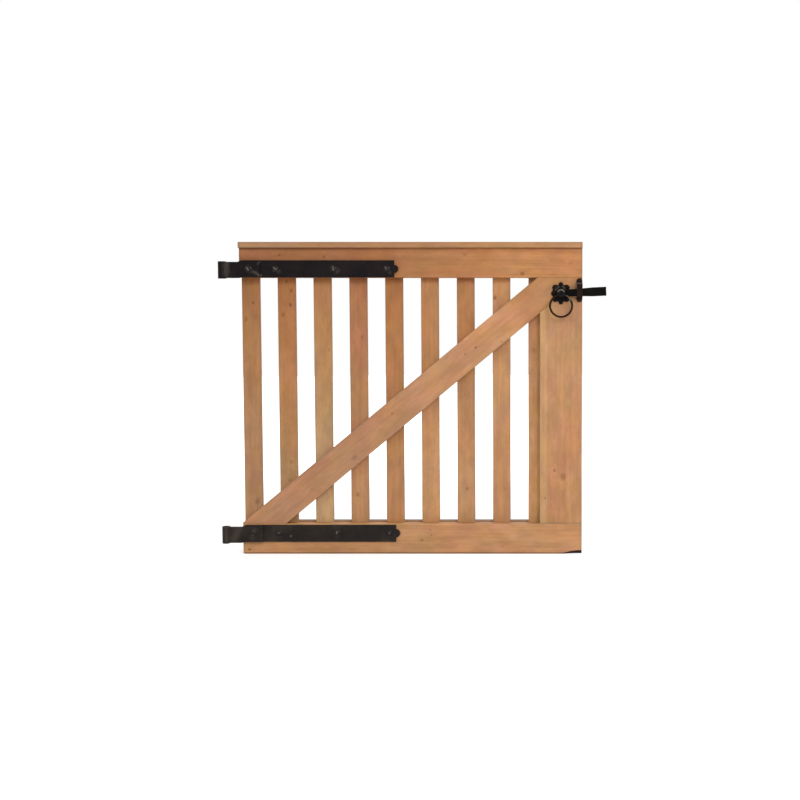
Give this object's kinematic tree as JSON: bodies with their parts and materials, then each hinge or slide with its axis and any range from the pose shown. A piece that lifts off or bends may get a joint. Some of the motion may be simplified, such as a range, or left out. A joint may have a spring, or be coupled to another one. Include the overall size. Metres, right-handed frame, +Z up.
{
  "type": "wooden garden gate",
  "caption": "Slatted wooden gate leaf with front and back rails, a diagonal brace, black strap hinges with rolled eyes and a ring latch.",
  "frame": {"origin": "centre of the lower hinge eye's bore, on the gate's pivot axis", "axes": "+X along the leaf from the hinge side to the latch side, -Y out of the front face, +Z up along the pivot axis"},
  "size_m": [1.1297, 0.136, 0.917],
  "materials": {
    "front_timber": "planed softwood, oiled orange tan",
    "slat_timber": "planed softwood, oiled orange tan",
    "back_timber": "planed softwood, oiled orange tan",
    "black_iron": "satin black coating on steel"
  },
  "bodies": {
    "leaf": {"front_top_rail": "front_timber", "front_bottom_rail": "front_timber", "front_stile": "front_timber", "brace": "front_timber", "cap": "front_timber", "slat_1": "slat_timber", "slat_2": "slat_timber", "slat_3": "slat_timber", "slat_4": "slat_timber", "slat_5": "slat_timber", "slat_6": "slat_timber", "slat_7": "slat_timber", "slat_8": "slat_timber", "slat_9": "slat_timber", "slat_10": "slat_timber", "back_top_rail": "back_timber", "back_bottom_rail": "back_timber", "back_stile": "back_timber", "lower_hinge": "black_iron", "upper_hinge": "black_iron", "front_rose": "black_iron", "back_rose": "black_iron", "bar_guide": "black_iron"},
    "latch": {"spindle": "black_iron", "latch_bar": "black_iron", "front_hub": "black_iron", "back_hub": "black_iron"},
    "ring_front": {"front_ring": "black_iron"},
    "ring_back": {"back_ring": "black_iron"}
  },
  "joints": [
    {"name": "latch_turn", "type": "hinge", "parent": "leaf", "child": "latch", "pos_m": [0.9865, 0, 0.7105], "axis": [0, -1, 0], "range_deg": [0, 10]},
    {"name": "front_ring_swing", "type": "hinge", "parent": "latch", "child": "ring_front", "pos_m": [0.9865, -0.02, 0.706], "axis": [-1, 0, 0], "range_deg": [-8, 100]},
    {"name": "back_ring_swing", "type": "hinge", "parent": "latch", "child": "ring_back", "pos_m": [0.9865, 0.098, 0.706], "axis": [1, 0, 0], "range_deg": [-6, 100]}
  ]
}
